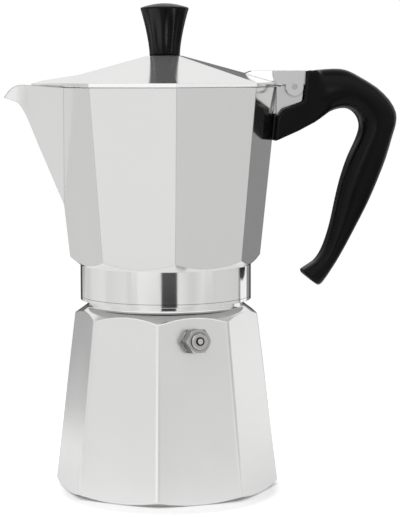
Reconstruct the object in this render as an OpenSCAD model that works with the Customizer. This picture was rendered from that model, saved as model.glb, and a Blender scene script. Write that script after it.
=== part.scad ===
// Octagonal stove-top moka pot: boiler, funnel, filter, collector with spout, hinged lid and side handle.
// Origin at the centre of the base, +Z up, handle towards +X, spout towards -X, millimetres.

/* [Boiler] */
// Corner radius of the boiler where its sides would meet the table
boiler_foot_r = 59.7; // [52:0.1:68]
// Corner radius of the boiler at its shoulder
boiler_shoulder_r = 48.5; // [46:0.1:52]
// Height of the shoulder corners above the table
boiler_shoulder_z = 91.4; // [80:0.1:110]
// Angle by which the boiler's corners trail the collector's corners when screwed tight
boiler_twist = 10; // [0:1:22]
// Wall thickness of the boiler
boiler_wall = 2.8; // [2:0.1:3.5]
// Thickness of the boiler's bottom
boiler_floor = 3.6; // [2.5:0.1:5]
// Height of the turned edge round the base
foot_turn_h = 2.8; // [2:0.1:5]
// Radius of the turned flat ring that the pot stands on
foot_ring_r = 54.6; // [50:0.1:55]
// Depth of the shallow groove turned into the underside
foot_groove = 0.8; // [0.4:0.1:1.4]
// Outer radius of the boiler's neck
neck_r = 41.2; // [40.4:0.1:42]
// Wall thickness of the neck
neck_wall = 4; // [3:0.1:4.5]
// Height of the neck above the shoulder corners
neck_h = 21.1; // [19:0.1:24]
// Slope of the turned shoulder, in degrees
shoulder_slope = 36; // [30:1:42]

/* [Collector] */
// Height of the collar's lower edge above the boiler's shoulder corners
collar_lift = 8.3; // [7.5:0.1:9.5]
// Outer radius of the round collar
collar_r = 44.9; // [44.4:0.1:46.5]
// Height of the collar
collar_h = 18.3; // [17.6:0.1:21]
// Depth of the thread, which is the gap between the neck and the collar
thread_depth = 0.8; // [0.5:0.1:1]
// Corner radius of the collector just above its turned lower edge
body_foot_r = 50.3; // [49.6:0.1:53]
// Corner radius of the collector at the rim
body_rim_r = 59.6; // [56:0.1:64]
// Height of the turned lower edge of the collector
body_turn_h = 4.2; // [3:0.1:6]
// Height from the turned edge to the rim
body_h = 88.4; // [80:0.1:100]
// Wall thickness of the collector, across a flat side
body_wall = 2.8; // [2.2:0.1:3.4]
// Thickness of the collector's floor
body_floor = 3; // [2.4:0.1:4]

/* [Spout] */
// Distance from the spout's root to its lip
spout_reach = 30.1; // [26:0.1:34]
// How far inside the rim's corner the root lies
spout_inset = 6.1; // [5:0.1:7]
// How far down the corner the spout starts
spout_drop = 60.4; // [50:0.1:68]
// Width of the spout at its root, along the rim
spout_root_w = 29.2; // [27:0.1:32]
// Wall of the spout, measured along the pouring direction
spout_wall = 4.6; // [4:0.1:5.4]

/* [Column] */
// Height of the coffee column above the collector's floor
column_h = 66; // [50:1:74]
// Outer radius at the foot of the column
column_foot_r = 9.5; // [8.5:0.1:12]
// Outer radius at the top of the column
column_top_r = 5.6; // [5.4:0.1:6.5]
// Bore radius of the column
column_bore_r = 4; // [3.6:0.1:4.2]
// Outer radius of the column's cap
column_cap_r = 7; // [6.8:0.1:8]
// Height of the column's cap
column_cap_h = 11; // [10:0.5:14]

/* [Lid] */
// Gap between the rim and the lid's edge
lid_gap = 0.3; // [0.2:0.05:0.5]
// Height of the upright edge of the lid
lid_edge_h = 2; // [1.8:0.1:3]
// Rise from the top of the edge to the flat crown
lid_rise = 13.9; // [10:0.1:18]
// Corner radius of the flat crown under the knob
lid_crown_r = 9; // [8.5:0.1:11]
// Wall thickness of the lid
lid_wall = 1.7; // [1.3:0.1:2]
// Length of the lid's beak over the spout, from the spout's root
beak_reach = 16; // [14:0.1:17.5]
// Height of the locating lip that hangs inside the rim
lid_lip_h = 1.6; // [1:0.1:2.5]

/* [Hinge] */
// Distance from the rim's corner to the hinge pin
pin_offset = 8; // [7.6:0.1:9]
// Depth of the hinge pin's axis below the rim
pin_drop = 0.2; // [0:0.1:0.6]
// Radius of the hinge pin
pin_r = 1.3; // [1.1:0.05:1.5]
// Radius of the round lobes on the lid's lugs
lug_r = 4.75; // [4.5:0.05:5]
// Thickness of each lug
lug_t = 1.8; // [1.5:0.1:2.4]
// Height of the hinge tab's flat top above the rim
tab_rise = 8.4; // [7.2:0.1:8.8]
// Distance from the pin to the ends of the lugs
lug_end = 5.8; // [5.4:0.1:6.2]
// Width of the bracket cast on the collector
bracket_w = 9.6; // [8.6:0.1:10.6]
// Side clearance between the bracket and the lugs
hinge_gap = 0.3; // [0.3:0.05:0.4]
// How far the lid opens, in degrees
lid_open = 100; // [95:1:100]

/* [Handle] */
// Distance from the bracket's end to the handle's farthest point
handle_reach = 49.5; // [44:0.1:60]
// Distance from the handle's top to its lowest point
handle_drop = 114; // [96:0.5:118]
// Widest part of the grip
grip_w = 21.6; // [20:0.1:26]
// Width of the flat cheeks beside the hinge
cheek_w = 17.6; // [17.4:0.1:19]
// Height of the handle's flat end behind the body's corner
handle_foot_h = 13.7; // [12:0.1:15]
// Thickness of the bracket's tongue inside the handle
tongue_t = 6; // [5:0.1:7]
// Radius of the screw that holds the handle
handle_screw_r = 2; // [1.6:0.1:2.2]

/* [Knob] */
// Height of the knob
knob_h = 27.2; // [24:0.1:32]
// Radius of the knob's flared top
knob_top_r = 12.6; // [11.5:0.1:14]
// Radius of the knob's foot
knob_foot_r = 8; // [7:0.1:8.4]
// Number of flutes round the knob
knob_flutes = 10; // [8:1:12]
// Angle by which the knob's flutes are turned on its screw
knob_turn = 6.5; // [0:0.5:36]
// Depth of the shallow flutes round the knob
flute_depth = 0.55; // [0.2:0.05:0.6]
// Radius of the knob's screw
knob_screw_r = 2; // [1.6:0.1:2.4]

/* [Filter] */
// Outer radius of the coffee basket
basket_r = 36.7; // [35.8:0.1:36.8]
// Depth of the coffee basket
basket_depth = 28; // [24:0.5:30]
// Sheet thickness of the funnel
sheet_t = 0.8; // [0.6:0.1:1]
// Outer radius of the funnel's stem
stem_r = 5; // [4.8:0.1:5.5]
// Gap between the stem's end and the boiler's bottom
stem_gap = 6; // [4:0.5:10]
// Thickness of the rubber gasket
gasket_t = 3.5; // [3:0.1:4]
// Inner radius of the rubber gasket
gasket_bore_r = 32.8; // [32:0.1:33.4]
// Spacing of the rings of holes in the perforated discs
hole_pitch = 5; // [4.5:0.1:5.6]
// Radius of each hole in the perforated discs
hole_r = 0.8; // [0.6:0.05:1]

/* [Valve] */
// Height of the valve's axis where it leaves the boiler's side
valve_z = 82.8; // [77:0.1:83]
// Sideways place of the valve on its flat side
valve_side = 0; // [-3:0.1:3]
// Width across the flats of the valve's hexagon
valve_hex_w = 11.8; // [11:0.1:14]
// Thickness of the hexagon
valve_hex_h = 7.4; // [5:0.1:8.5]
// Radius of the valve's shank
valve_shank_r = 4.4; // [4.2:0.1:4.8]
// Radius of the round cap in the middle of the hexagon
valve_cap_r = 4.2; // [3.9:0.1:4.6]
// Travel of the valve's pin
valve_travel = 1.2; // [0.8:0.1:1.4]

/* [Hidden] */

$fn = 96;
eps = 0.01;
sides = 8;
flat = cos(180 / sides);
half_side = 180 / sides;

aluminium = [0.80, 0.81, 0.82];
bright_aluminium = [0.88, 0.88, 0.89];
nickel = [0.70, 0.69, 0.66];
steel = [0.62, 0.63, 0.65];
black_plastic = [0.06, 0.06, 0.06];
white_rubber = [0.86, 0.85, 0.80];

// Heights up the pot
neck_top_z = boiler_shoulder_z + neck_h;
flange_z = neck_top_z + sheet_t;
seat_z = flange_z + gasket_t;
collar_z = boiler_shoulder_z + collar_lift;
body_z = collar_z + collar_h;
turn_z = body_z + body_turn_h;
rim_z = turn_z + body_h;
floor_z = seat_z + body_floor;
lid_z = rim_z + lid_gap;
lid_slope_z = lid_z + lid_edge_h;
crown_z = lid_slope_z + lid_rise;

// Boiler
boiler_slant = (boiler_foot_r - boiler_shoulder_r) / boiler_shoulder_z;
foot_ring_w = 11;
foot_middle_r = 16;
neck_bore_r = neck_r - neck_wall;
shoulder_rise = (boiler_shoulder_r - neck_r) * tan(shoulder_slope);
neck_foot_z = boiler_shoulder_z + shoulder_rise;

// Collector
body_slant = (body_rim_r - body_foot_r) / body_h;
thread_bore_r = neck_r + thread_depth;
gasket_clear = 0.3;
gasket_r = neck_r - 0.8;
recess_r = gasket_r + gasket_clear;
recess_z = neck_top_z + 0.5;
plate_r = gasket_bore_r + 1.2;
plate_t = 0.8;
sump_r = gasket_bore_r - 2;
column_seat_r = column_bore_r + 2.2;
boss_h = 3;
column_foot_z = floor_z + boss_h;
column_top_z = floor_z + column_h;

// Spout
spout_root_x = -(body_rim_r - spout_inset);
// Each station: share of the reach, share of the drop, rise of the edge above the rim, share of the width
SPOUT = [
  [-0.266, 1.318, 0, 1.307],
  [0, 1, 0, 1],
  [0.2, 0.76, 0.4, 0.79],
  [0.4, 0.52, 0.8, 0.58],
  [0.56, 0.32, 1.1, 0.42],
  [0.66, 0.21, 1.3, 0.35],
  [0.76, 0.136, 1.1, 0.29],
  [0.86, 0.112, -0.1, 0.23],
  [0.94, 0.097, -2.4, 0.16],
  [1, 0.09, -4.9, 0.07]
];
// Each station of the pouring channel: share of the reach, share of the drop, share of the width
CHANNEL = [
  [-0.4, 1.36, 1.30],
  [0, 0.93, 0.89],
  [0.2, 0.69, 0.68],
  [0.4, 0.45, 0.47],
  [0.56, 0.22, 0.32],
  [0.7, 0.125, 0.25],
  [0.86, 0.085, 0.17],
  [1.03, 0.075, 0.1]
];

// Hinge
pin_x = body_rim_r + pin_offset;
pin_z = rim_z - pin_drop;
tab_z = rim_z + tab_rise;
lug_in = bracket_w / 2 + hinge_gap;
lug_out = lug_in + lug_t;
barrel_r = lug_r - 0.75;
lug_end_x = pin_x + lug_end;
ear_x = pin_x - 11.2;
ear_plate_x = pin_x - 3.1;
ear_z = rim_z + 1;
pin_run_gap = 0.06;

// Handle
bracket_end_z = rim_z - 7.9;
bracket_low_z = rim_z - 15;
bracket_x = body_rim_r - 1.4;
handle_end_x = bracket_x + 0.3;
handle_end_z = bracket_low_z - handle_foot_h;
handle_gap = 0.35;
pocket_gap = 0.4;
pocket_r = sqrt(pow(lug_end, 2) + pow(tab_z - pin_z, 2)) + pocket_gap;
pocket_w = 2 * (lug_out + pocket_gap);
tongue_gap = 0.1;
screw_x = handle_end_x + 10;
screw_inset = 6.4;

// Each station of the grip: outer point, inner point and half width, as shares of the reach, drop and width
GRIP = [
  [[0.04, 0.001], [0.012, 0.25], 0.66],
  [[0.18, -0.006], [0.14, 0.225], 0.80],
  [[0.33, -0.01], [0.28, 0.191], 0.92],
  [[0.46, -0.004], [0.40, 0.175], 0.98],
  [[0.62, 0.033], [0.485, 0.178], 1],
  [[0.78, 0.077], [0.55, 0.198], 1],
  [[0.92, 0.135], [0.59, 0.225], 1],
  [[0.995, 0.194], [0.608, 0.252], 1],
  [[0.997, 0.246], [0.598, 0.281], 0.99],
  [[0.957, 0.307], [0.553, 0.331], 0.97],
  [[0.893, 0.404], [0.478, 0.397], 0.93],
  [[0.798, 0.512], [0.398, 0.496], 0.87],
  [[0.693, 0.619], [0.336, 0.607], 0.81],
  [[0.568, 0.726], [0.284, 0.714], 0.76],
  [[0.433, 0.835], [0.203, 0.823], 0.74],
  [[0.315, 0.919], [0.113, 0.885], 0.78],
  [[0.186, 0.998], [-0.025, 0.922], 0.84],
  [[0.150, 0.998], [-0.006, 0.944], 0.60]
];

// Knob
knob_z = crown_z;
insert_r = knob_screw_r + 1.6;
insert_h = 12;

// Filter and funnel
basket_floor_z = neck_top_z - basket_depth;
stem_low_z = boiler_floor + stem_gap;
stem_top_z = basket_floor_z - 8.6;
stem_bore_r = stem_r - sheet_t;
stem_sleeve_r = stem_r + sheet_t;
disc_r = basket_r - sheet_t - 0.3;

// Valve
valve_apothem = (boiler_foot_r - valve_z * boiler_slant) * flat;
valve_tilt = atan(boiler_slant * flat);
valve_turn = -90 - boiler_twist + half_side;
valve_washer_t = 0.8;
valve_inner = -(boiler_wall + 1.6);
valve_chamber_r = 2.9;
valve_seat = -(boiler_wall - 0.6);
valve_head_t = 1;
valve_seal_t = 0.8;
valve_pin_r = 1.4;
valve_face = valve_washer_t + valve_hex_h;

// --- Shared shapes ---

module octagon(z0, r0, z1, r1, turn = 0) {
  translate([0, 0, z0])
    rotate([0, 0, turn])
      cylinder(h = z1 - z0, r1 = r0, r2 = r1, $fn = sides);
}

// An upright slab whose outline is drawn in the X-Z plane, centred on Y = 0 or on y
module slab(points, width, y = 0) {
  translate([0, y + width / 2, 0])
    rotate([90, 0, 0])
      linear_extrude(height = width)
        polygon(points);
}

// A round bar along Y, centred on y, through x and z
module cross_bar(x, z, r, width, y = 0) {
  translate([x, y + width / 2, z])
    rotate([90, 0, 0])
      cylinder(h = width, r = r);
}

module tube(z0, z1, r_out, r_in) {
  translate([0, 0, z0])
    difference() {
      cylinder(h = z1 - z0, r = r_out);
      translate([0, 0, -eps])
        cylinder(h = z1 - z0 + 2 * eps, r = r_in);
    }
}

// A closed skin through equal rings of points
module loft(rings) {
  n = len(rings[0]);
  m = len(rings);
  points = [for (ring = rings) for (p = ring) p];
  skin = [for (i = [0:m - 2]) for (j = [0:n - 1]) for (t = [0, 1])
    t == 0
      ? [i * n + j, i * n + (j + 1) % n, (i + 1) * n + j]
      : [i * n + (j + 1) % n, (i + 1) * n + (j + 1) % n, (i + 1) * n + j]];
  start = [for (j = [1:n - 2]) [0, j + 1, j]];
  finish = [for (j = [1:n - 2]) [(m - 1) * n, (m - 1) * n + j, (m - 1) * n + j + 1]];
  polyhedron(points = points, faces = concat(skin, start, finish));
}

// A smooth curve through four values, at share t between the middle two
function curve(a, b, c, d, t) =
  0.5 * (2 * b + (c - a) * t + (2 * a - 5 * b + 4 * c - d) * t * t + (3 * b - a - 3 * c + d) * t * t * t);

// --- Boiler ---

module boiler_outside() {
  corner_r = boiler_foot_r - foot_turn_h * boiler_slant;
  turn_slope = foot_turn_h / (corner_r - foot_ring_r);
  intersection() {
    octagon(0, boiler_foot_r, neck_foot_z, boiler_foot_r - neck_foot_z * boiler_slant, -boiler_twist);
    rotate_extrude()
      polygon([
        [0, 0],
        [foot_ring_r, 0],
        [boiler_foot_r + 1, (boiler_foot_r + 1 - foot_ring_r) * turn_slope],
        [
            boiler_foot_r + 1,
            boiler_shoulder_z - (boiler_foot_r + 1 - boiler_shoulder_r) * tan(shoulder_slope)
        ],
        [neck_r, neck_foot_z],
        [0, neck_foot_z]
      ]);
  }
  translate([0, 0, neck_foot_z - 1])
    cylinder(h = neck_top_z - neck_foot_z + 1, r = neck_r);
}

module boiler() {
  roof_z = boiler_shoulder_z - 2;
  color(aluminium)
    difference() {
      boiler_outside();
      // Water space, with a sloping roof under the neck
      octagon(boiler_floor, boiler_foot_r - boiler_floor * boiler_slant - boiler_wall / flat,
        roof_z, boiler_foot_r - roof_z * boiler_slant - boiler_wall / flat, -boiler_twist);
      octagon(roof_z - eps, boiler_foot_r - roof_z * boiler_slant - boiler_wall / flat,
        neck_foot_z, neck_bore_r / flat - 2, -boiler_twist);
      translate([0, 0, roof_z])
        cylinder(h = neck_top_z - roof_z + 1, r = neck_bore_r);
      // Groove turned into the underside, between the middle and the outer ring
      tube(-eps, foot_groove, foot_ring_r - foot_ring_w, foot_middle_r);
      at_valve()
        translate([0, 0, -boiler_wall - 4])
          cylinder(h = boiler_wall + 8, r = valve_shank_r);
    }
}

// --- Safety valve, drawn along its own axis from the boiler's flat side ---

module at_valve() {
  rotate([0, 0, valve_turn])
    translate([valve_apothem, valve_side, valve_z])
      rotate([0, 90 - valve_tilt, 0])
        children();
}

module valve_body() {
  color(nickel)
    at_valve()
      difference() {
        union() {
          translate([0, 0, valve_washer_t])
            intersection() {
              rotate([0, 0, 90])
                cylinder(h = valve_hex_h, d = valve_hex_w / cos(30), $fn = 6);
              cylinder(h = valve_hex_h, r1 = valve_hex_w / 2 + valve_hex_h, r2 = valve_hex_w / 2);
            }
          translate([0, 0, valve_inner])
            cylinder(h = valve_washer_t - valve_inner + 1, r = valve_shank_r);
        }
        translate([0, 0, valve_inner - 1])
          cylinder(h = valve_face - valve_inner + 2, r = 1.5);
        translate([0, 0, valve_seat])
          cylinder(h = valve_face - valve_seat + 1, r = valve_chamber_r);
      }
}

module valve_washer() {
  color(steel)
    at_valve()
      tube(0, valve_washer_t, valve_shank_r + 1.8, valve_shank_r);
}

module valve_seal() {
  color(white_rubber)
    at_valve()
      translate([0, 0, valve_seat])
        cylinder(h = valve_seal_t, r = valve_chamber_r - 0.3);
}

module valve_pin() {
  color(bright_aluminium)
    at_valve()
      translate([0, 0, valve_seat + valve_seal_t]) {
        cylinder(h = valve_head_t, r = valve_chamber_r - 0.3);
        cylinder(h = valve_face + 0.7 + valve_travel - valve_seat - valve_seal_t, r = valve_pin_r);
      }
}

module valve_spring() {
  wire_r = 0.22;
  turns = 5;
  steps = 10;
  corners = 6;
  coil_r = 1.75;
  low = valve_seat + valve_seal_t + valve_head_t + wire_r + 0.02;
  high = valve_face - 1 - wire_r - 0.02;
  color(steel)
    at_valve()
      loft([for (i = [0:turns * steps])
        let (a = 360 * i / steps, z = low + (high - low) * i / (turns * steps))
        [for (k = [0:corners - 1])
          let (b = -360 * k / corners, r = coil_r + wire_r * cos(b))
          [r * cos(a), r * sin(a), z + wire_r * sin(b)]]]);
}

module valve_cap() {
  color(nickel)
    at_valve()
      difference() {
        union() {
          translate([0, 0, valve_face - 1])
            cylinder(h = 1.5, r = valve_chamber_r - 0.02);
          translate([0, 0, valve_face])
            cylinder(h = 0.9, r = valve_cap_r);
          translate([0, 0, valve_face + 0.9])
            cylinder(h = 0.5, r1 = valve_cap_r, r2 = valve_cap_r - 0.5);
        }
        translate([0, 0, valve_face - 2])
          cylinder(h = 3, r = valve_pin_r + 0.3);
        translate([0, 0, valve_face + 0.6])
          cylinder(h = 2, r = valve_pin_r + 0.9);
      }
}

// --- Funnel and filter ---

module funnel_basket() {
  inner_r = basket_r - sheet_t;
  ledge_r = inner_r - 1.6;
  color(bright_aluminium)
    rotate_extrude()
      polygon([
        [inner_r, flange_z],
        [gasket_r, flange_z],
        [gasket_r, neck_top_z],
        [basket_r, neck_top_z],
        [basket_r, basket_floor_z - sheet_t],
        [stem_sleeve_r, stem_top_z],
        [stem_bore_r, stem_top_z],
        [ledge_r, basket_floor_z - sheet_t + (ledge_r - stem_bore_r) * 0.01],
        [ledge_r, basket_floor_z],
        [inner_r, basket_floor_z]
      ]);
}

module funnel_stem() {
  // Tube with a thicker sleeve where it meets the basket's cone
  sleeve_z = stem_top_z - 8;
  color(bright_aluminium)
    rotate_extrude()
      polygon([
        [stem_bore_r, stem_low_z],
        [stem_r, stem_low_z],
        [stem_r, sleeve_z],
        [stem_sleeve_r, sleeve_z],
        [stem_sleeve_r, stem_top_z],
        [stem_bore_r, stem_top_z]
      ]);
}

module hole_rings(rings) {
  for (k = [0:rings])
    for (i = [0:max(0, 6 * k - 1)])
      rotate(360 * i / max(1, 6 * k))
        translate([k * hole_pitch, 0])
          circle(r = hole_r, $fn = 24);
}

module perforated_disc(z, r, t) {
  rings = floor((r - 3) / hole_pitch);
  translate([0, 0, z])
    linear_extrude(height = t)
      difference() {
        circle(r = r);
        hole_rings(rings);
      }
}

module funnel_disc() {
  color(bright_aluminium)
    perforated_disc(basket_floor_z, disc_r, sheet_t);
}

module gasket() {
  color(white_rubber)
    difference() {
      tube(flange_z, seat_z, gasket_r, gasket_bore_r);
      translate([0, 0, seat_z - plate_t])
        cylinder(h = plate_t + 1, r = plate_r);
    }
}

module filter_plate() {
  color(bright_aluminium)
    perforated_disc(seat_z - plate_t, plate_r - 0.1, plate_t);
}

// --- Collector ---

function spout_value(i, pick) = SPOUT[max(0, min(len(SPOUT) - 1, i))][pick];

function spout_at(i, t, pick) = curve(spout_value(i - 1, pick), spout_value(i, pick),
  spout_value(i + 1, pick), spout_value(i + 2, pick), t);

module spout_outside() {
  parts = 3;
  straight = 3;
  last = len(SPOUT) - 1;
  bent = [for (i = [straight:last - 1]) for (p = [0:parts - 1]) [i, p / parts]];
  loft([for (s = concat([for (i = [0:straight - 1]) [i, 0]], bent, [[last - 1, 1]]))
    let (
      x = spout_root_x - spout_at(s[0], s[1], 0) * spout_reach,
      low = rim_z - spout_at(s[0], s[1], 1) * spout_drop,
      high = rim_z + spout_at(s[0], s[1], 2),
      w = spout_at(s[0], s[1], 3) * spout_root_w / 2,
      nose = min(1.2, w * 0.4))
    [
      [x, -w, high],
      [x, -nose, low + (high - low) * nose / w * 0.8],
      [x, -nose / 2, low + (high - low) * nose / w * 0.25],
      [x, 0, low],
      [x, nose / 2, low + (high - low) * nose / w * 0.25],
      [x, nose, low + (high - low) * nose / w * 0.8],
      [x, w, high]
    ]]);
}

module spout_channel() {
  loft([for (s = CHANNEL)
    let (
      x = spout_root_x - s[0] * spout_reach,
      low = rim_z - s[1] * spout_drop,
      high = rim_z + 4,
      w = s[2] * (spout_root_w - spout_wall) / 2 + 0.6)
    [
      [x, -w, high],
      [x, -w, rim_z],
      [x, -0.8, low + 0.8],
      [x, 0, low],
      [x, 0.8, low + 0.8],
      [x, w, rim_z],
      [x, w, high]
    ]]);
}

module bracket() {
  // Side face of the bracket, with a rounded barrel round the hinge pin
  slab([
    [bracket_x, rim_z],
    [bracket_x, bracket_low_z + 0.4],
    [bracket_x + 0.4, bracket_low_z],
    [bracket_x + 3, bracket_low_z + 3.3],
    [lug_end_x - 1.5, bracket_end_z],
    [lug_end_x, ear_z - lid_gap],
    [body_rim_r + 1.1, ear_z - lid_gap],
    [body_rim_r + 0.8, rim_z]
  ], bracket_w);
  cross_bar(pin_x, pin_z, barrel_r, bracket_w);
  // Web that joins it to the corner of the body
  slab([
    [bracket_x - 5, rim_z],
    [bracket_x - 5, bracket_low_z],
    [bracket_x + 1, bracket_low_z + 1],
    [bracket_x + 1, rim_z]
  ], bracket_w - 2);
  // Tongue inside the handle
  slab(tongue_outline(0), tongue_t);
}

function tongue_outline(gap) = [
  [handle_end_x + 1.5 - gap, bracket_low_z + 4],
  [handle_end_x + 1.5 - gap, bracket_low_z - 6 - gap],
  [handle_end_x + 16 + gap, bracket_low_z - 3 - gap],
  [lug_end_x + 12 + gap, bracket_end_z + 2 - gap],
  [lug_end_x + 12 + gap, bracket_end_z + 6 + gap],
  [lug_end_x - 2, bracket_end_z + 6 + gap]
];

module collector_outside() {
  intersection() {
    octagon(body_z, body_foot_r - body_turn_h * body_slant, rim_z, body_rim_r);
    rotate_extrude()
      polygon([
        [0, body_z],
        [collar_r, body_z],
        [body_foot_r, turn_z],
        [body_rim_r + 1, turn_z + (body_rim_r + 1 - body_foot_r) * 2],
        [body_rim_r + 1, rim_z],
        [0, rim_z]
      ]);
  }
  translate([0, 0, collar_z])
    cylinder(h = collar_h, r = collar_r);
  intersection() {
    spout_outside();
    translate([-2 * body_rim_r, -body_rim_r, body_z])
      cube([2 * body_rim_r, 2 * body_rim_r, rim_z + 8 - body_z]);
  }
}

module collector() {
  inset = body_wall / flat;
  dish_r = collar_r - body_wall - 5;
  dish_slope = 0.75;
  color(aluminium)
    difference() {
      union() {
        difference() {
          union() {
            collector_outside();
            bracket();
          }
          // Coffee chamber: eight flat sides over a round dished bottom
          intersection() {
            octagon(floor_z, body_foot_r - inset + (floor_z - turn_z) * body_slant,
              rim_z + 1, body_rim_r - inset + body_slant);
            rotate_extrude()
              polygon([
                [0, floor_z],
                [dish_r, floor_z],
                [body_rim_r, floor_z + (body_rim_r - dish_r) * dish_slope],
                [body_rim_r, rim_z + 1],
                [0, rim_z + 1]
              ]);
          }
          spout_channel();
        }
        // Boss that holds the column
        translate([0, 0, floor_z - 1])
          cylinder(h = boss_h + 1, r1 = column_foot_r + 4, r2 = column_foot_r);
      }
      // Thread bore, gasket recess and the sump over the filter plate
      translate([0, 0, collar_z - 1])
        cylinder(h = recess_z - collar_z + 1, r = thread_bore_r);
      translate([0, 0, recess_z - eps])
        cylinder(h = seat_z - recess_z + eps, r = recess_r);
      translate([0, 0, seat_z - eps])
        cylinder(h = body_floor + boss_h - 3, r1 = sump_r, r2 = column_seat_r);
      translate([0, 0, seat_z])
        cylinder(h = body_floor + boss_h + 1, r = column_seat_r);
      // Bore for the hinge pin
      cross_bar(pin_x, pin_z, pin_r + pin_run_gap, bracket_w + 2);
      // Bore for the handle's screw
      translate([screw_x, 0, bracket_low_z - 8])
        cylinder(h = 13, r = handle_screw_r);
    }
}

module column() {
  color(aluminium)
    rotate_extrude()
      polygon([
        [column_bore_r, column_foot_z - boss_h - 1],
        [column_seat_r, column_foot_z - boss_h - 1],
        [column_seat_r, column_foot_z],
        [column_foot_r, column_foot_z],
        [column_top_r, column_top_z],
        [column_bore_r, column_top_z]
      ]);
}

module column_cap() {
  base_z = column_top_z - 5;
  window_z = column_top_z + 0.5;
  socket_r = column_top_r + 5 * (column_foot_r - column_top_r) / (column_top_z - column_foot_z);
  color(bright_aluminium)
    difference() {
      translate([0, 0, base_z]) {
        cylinder(h = column_cap_h - 2, r = column_cap_r);
        translate([0, 0, column_cap_h - 2])
          cylinder(h = 2, r1 = column_cap_r, r2 = column_cap_r - 3);
      }
      translate([0, 0, base_z - eps])
        cylinder(h = 5 + eps, r1 = socket_r, r2 = column_top_r);
      translate([0, 0, column_top_z - eps])
        cylinder(h = 3.5, r = column_bore_r);
      for (a = [0, 90])
        rotate([0, 0, a])
          translate([-column_cap_r - 1, -1.5, window_z])
            cube([2 * column_cap_r + 2, 3, 2.6]);
    }
}

// --- Lid ---

module beak(drop, t) {
  root_x = spout_root_x + 8 + t;
  tip_x = spout_root_x - beak_reach + t;
  root_w = spout_root_w / 2 - 1.4 - t;
  tip_w = max(0.6, 1.8 - t);
  edge_z = lid_slope_z - drop;
  hull() {
    for (side = [-1, 1]) {
      translate([spout_root_x, side * root_w, lid_z - t])
        cylinder(h = edge_z - lid_z + t, r = 0.05, $fn = 4);
      translate([root_x, side * root_w, lid_z - t])
        cylinder(h = edge_z - lid_z + t, r = 0.05, $fn = 4);
      translate([tip_x, side * tip_w, lid_z + 0.9 - t])
        cylinder(h = edge_z - lid_z - 1.4 + t, r = 0.05, $fn = 4);
    }
    translate([tip_x + 5.5, 0, lid_slope_z + 1.1 - drop])
      sphere(r = 0.05, $fn = 4);
    translate([root_x + 2, 0, lid_slope_z + 4.3 - drop])
      sphere(r = 0.05, $fn = 4);
  }
}

module lid_roof(drop, t) {
  octagon(lid_z - t, body_rim_r + 0.3 - t, lid_slope_z - drop + eps, body_rim_r + 0.3 - t);
  octagon(lid_slope_z - drop, body_rim_r + 0.3 - t, crown_z - drop, lid_crown_r);
}

module lid_lip() {
  outer = body_rim_r - body_wall / flat - 1;
  difference() {
    octagon(lid_z - lid_lip_h, outer, lid_slope_z + 0.3, outer);
    octagon(lid_z - lid_lip_h - 1, outer - 1.6, lid_slope_z + 1, outer - 1.6);
    // The lip stops short of the spout
    translate([-2 * body_rim_r, -spout_root_w, lid_z - lid_lip_h - 1])
      cube([2 * body_rim_r + spout_root_x + 8, 2 * spout_root_w, lid_slope_z + 2 - lid_z]);
  }
}

module hinge_tab() {
  // Neck with sloping sides over the slope of the lid, then the wider ear
  neck_top_w = 2 * lug_in - 1;
  intersection() {
    slab([
      [pin_x - 26, lid_slope_z + 0.5],
      [ear_x, ear_z],
      [ear_x + 0.5, ear_z],
      [ear_x + 0.5, tab_z],
      [pin_x - 22.2, tab_z - 0.2],
      [pin_x - 26, tab_z - 1.6]
    ], 2 * lug_out);
    translate([pin_x - 30, 0, 0])
      rotate([90, 0, 90])
        linear_extrude(height = 30)
          polygon([
            [-lug_out, ear_z],
            [lug_out, ear_z],
            [lug_out, ear_z + 2],
            [neck_top_w / 2, tab_z],
            [-neck_top_w / 2, tab_z],
            [-lug_out, ear_z + 2]
          ]);
  }
  slab([[ear_x, ear_z], [ear_plate_x, ear_z], [ear_plate_x, tab_z], [ear_x, tab_z]], 2 * lug_out);
  for (side = [-1, 1]) {
    slab([[ear_x, ear_z], [lug_end_x, ear_z], [lug_end_x, tab_z], [ear_x, tab_z]],
      lug_t, side * (lug_in + lug_t / 2));
    cross_bar(pin_x, pin_z, lug_r, lug_t, side * (lug_in + lug_t / 2));
  }
}

module lid() {
  color(aluminium)
    difference() {
      union() {
        difference() {
          union() {
            lid_roof(0, 0);
            beak(0, 0);
          }
          lid_roof(lid_wall, lid_wall);
          beak(lid_wall, lid_wall);
        }
        lid_lip();
        difference() {
          hinge_tab();
          lid_roof(lid_wall, lid_wall);
        }
      }
      // Room for the bracket's barrel between the lugs
      cross_bar(pin_x, pin_z, barrel_r + 0.4, 2 * lug_in);
      cross_bar(pin_x, pin_z, pin_r + pin_run_gap / 6, 2 * lug_out + 2);
      translate([0, 0, crown_z - lid_wall - 1])
        cylinder(h = lid_wall + 2, r = knob_screw_r + 0.2);
    }
}

module hinge_pin() {
  color(steel)
    cross_bar(pin_x, pin_z, pin_r, 2 * lug_out + 0.3);
}

// --- Knob ---

function knob_radius(u) = knob_foot_r + (knob_top_r - knob_foot_r) * pow(u, 1.5);

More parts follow.
